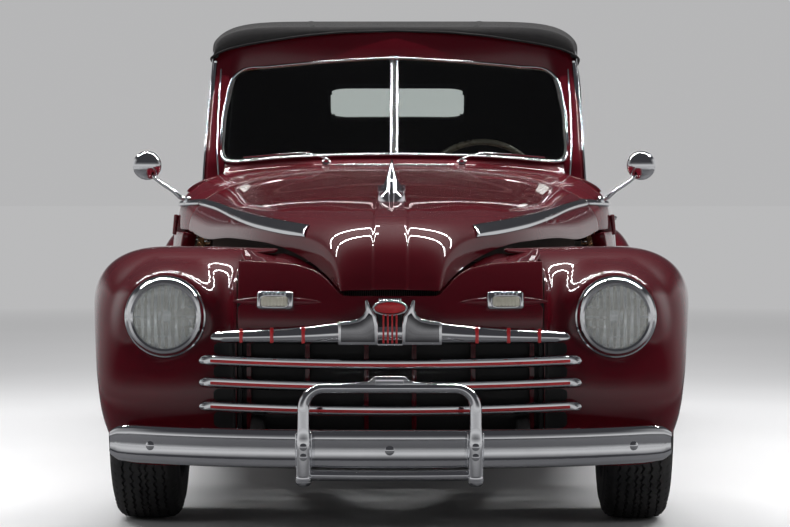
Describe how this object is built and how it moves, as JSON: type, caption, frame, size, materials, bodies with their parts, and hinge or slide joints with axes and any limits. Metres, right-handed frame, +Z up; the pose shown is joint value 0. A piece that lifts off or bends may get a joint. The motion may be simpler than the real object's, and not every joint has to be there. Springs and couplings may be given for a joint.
{
  "type": "two-door convertible car of the middle 1940s",
  "caption": "Two-door club convertible with separate pontoon fenders, alligator hood, chrome bar grille, guard bumpers and a raised black canvas top.",
  "frame": {"origin": "on the ground, under the middle of the car's bounding box", "axes": "+Z up, +X to the car's left, -Y forward (the front bumper is at -Y)"},
  "size_m": [1.8638, 4.9828, 1.5858],
  "materials": {
    "maroon_paint": "deep maroon gloss enamel",
    "chassis_black": "satin black chassis paint",
    "engine_paint": "satin dark green engine enamel",
    "chrome": "bright plated",
    "steel": "aluminised exhaust steel",
    "canvas": "black canvas with a fine twill weave",
    "glass": "clear laminated glass",
    "lamp_glass": "clear ribbed lens",
    "red_lens": "red lens",
    "tyre": "black tyre rubber",
    "wheel_paint": "maroon wheel with a bright cap and ring",
    "leather": "tan leather with sewn pleats",
    "dash_paint": "brown metallic dashboard enamel",
    "ivory_plastic": "ivory moulded plastic"
  },
  "bodies": {
    "root": {"chassis_frame": "chassis_black", "engine_block": "engine_paint", "radiator": "chassis_black", "front_axle": "chassis_black", "rear_axle": "chassis_black", "exhaust": "steel", "fuel_tank": "chassis_black", "floor_pan": "chassis_black", "cowl": "maroon_paint", "rear_body": "maroon_paint", "front_fender_left": "maroon_paint", "front_fender_right": "maroon_paint", "rear_fender_left": "maroon_paint", "rear_fender_right": "maroon_paint", "nose_panel": "maroon_paint", "grille": "chrome", "front_bumper": "chrome", "rear_bumper": "chrome", "windshield_frame": "chrome", "fixed_glass": "glass", "soft_top": "canvas", "dashboard": "dash_paint", "steering_column": "dash_paint", "front_seat": "leather", "rear_seat": "leather", "front_lamps": "chrome", "tail_lamps": "red_lens", "mirrors": "chrome"},
    "hood": {"hood": "maroon_paint"},
    "trunk_lid": {"trunk_lid": "maroon_paint"},
    "door_left": {"door_left": "maroon_paint", "door_glass_left": "glass"},
    "door_right": {"door_right": "maroon_paint", "door_glass_right": "glass"},
    "steering_wheel": {"steering_wheel": "ivory_plastic"},
    "knuckle_left": {"knuckle_left": "chassis_black"},
    "knuckle_right": {"knuckle_right": "chassis_black"},
    "tie_rod": {"tie_rod": "steel"},
    "wheel_front_left": {"wheel_front_left": "wheel_paint", "tyre_front_left": "tyre"},
    "wheel_front_right": {"wheel_front_right": "wheel_paint", "tyre_front_right": "tyre"},
    "wheel_rear_left": {"wheel_rear_left": "wheel_paint", "tyre_rear_left": "tyre"},
    "wheel_rear_right": {"wheel_rear_right": "wheel_paint", "tyre_rear_right": "tyre"}
  },
  "joints": [
    {"name": "hood_hinge", "type": "hinge", "parent": "root", "child": "hood", "pos_m": [0, -0.842, 1.068], "axis": [-1, 0, 0], "range_deg": [0, 48]},
    {"name": "trunk_hinge", "type": "hinge", "parent": "root", "child": "trunk_lid", "pos_m": [0, 1.366, 1.032], "axis": [1, 0, 0], "range_deg": [0, 55]},
    {"name": "door_left_hinge", "type": "hinge", "parent": "root", "child": "door_left", "pos_m": [0.76, -0.647, 0.6], "axis": [0.0929, 0, -0.9957], "range_deg": [0, 65]},
    {"name": "door_right_hinge", "type": "hinge", "parent": "root", "child": "door_right", "pos_m": [-0.76, -0.647, 0.6], "axis": [0.0929, 0, 0.9957], "range_deg": [0, 65]},
    {"name": "steer_left", "type": "hinge", "parent": "root", "child": "knuckle_left", "pos_m": [0.6665, -1.6515, 0.356], "axis": [0, 0, 1], "range_deg": [-26, 26]},
    {"name": "steer_right", "type": "hinge", "parent": "root", "child": "knuckle_right", "pos_m": [-0.6665, -1.6515, 0.356], "axis": [0, 0, 1], "range_deg": [-26, 26]},
    {"name": "tie_rod_pivot", "type": "hinge", "parent": "knuckle_left", "child": "tie_rod", "pos_m": [0.6665, -1.5215, 0.31], "axis": [0, 0, 1], "range_deg": [-26, 26]},
    {"name": "steering_wheel_turn", "type": "hinge", "parent": "root", "child": "steering_wheel", "pos_m": [0.3, -0.25, 0.968], "axis": [0, 0.8684, 0.4958], "range_deg": [-468, 468]},
    {"name": "wheel_front_left_spin", "type": "hinge", "parent": "knuckle_left", "child": "wheel_front_left", "pos_m": [0.7305, -1.6515, 0.356], "axis": [1, 0, 0], "continuous": true},
    {"name": "wheel_front_right_spin", "type": "hinge", "parent": "knuckle_right", "child": "wheel_front_right", "pos_m": [-0.7305, -1.6515, 0.356], "axis": [1, 0, 0], "continuous": true},
    {"name": "wheel_rear_left_spin", "type": "hinge", "parent": "root", "child": "wheel_rear_left", "pos_m": [0.7305, 1.2445, 0.356], "axis": [1, 0, 0], "continuous": true},
    {"name": "wheel_rear_right_spin", "type": "hinge", "parent": "root", "child": "wheel_rear_right", "pos_m": [-0.7305, 1.2445, 0.356], "axis": [1, 0, 0], "continuous": true}
  ],
  "couplings": [
    {"joint": "steer_right", "follows": "steer_left", "ratio": 1},
    {"joint": "tie_rod_pivot", "follows": "steer_left", "ratio": -1},
    {"joint": "steering_wheel_turn", "follows": "steer_left", "ratio": 18}
  ]
}
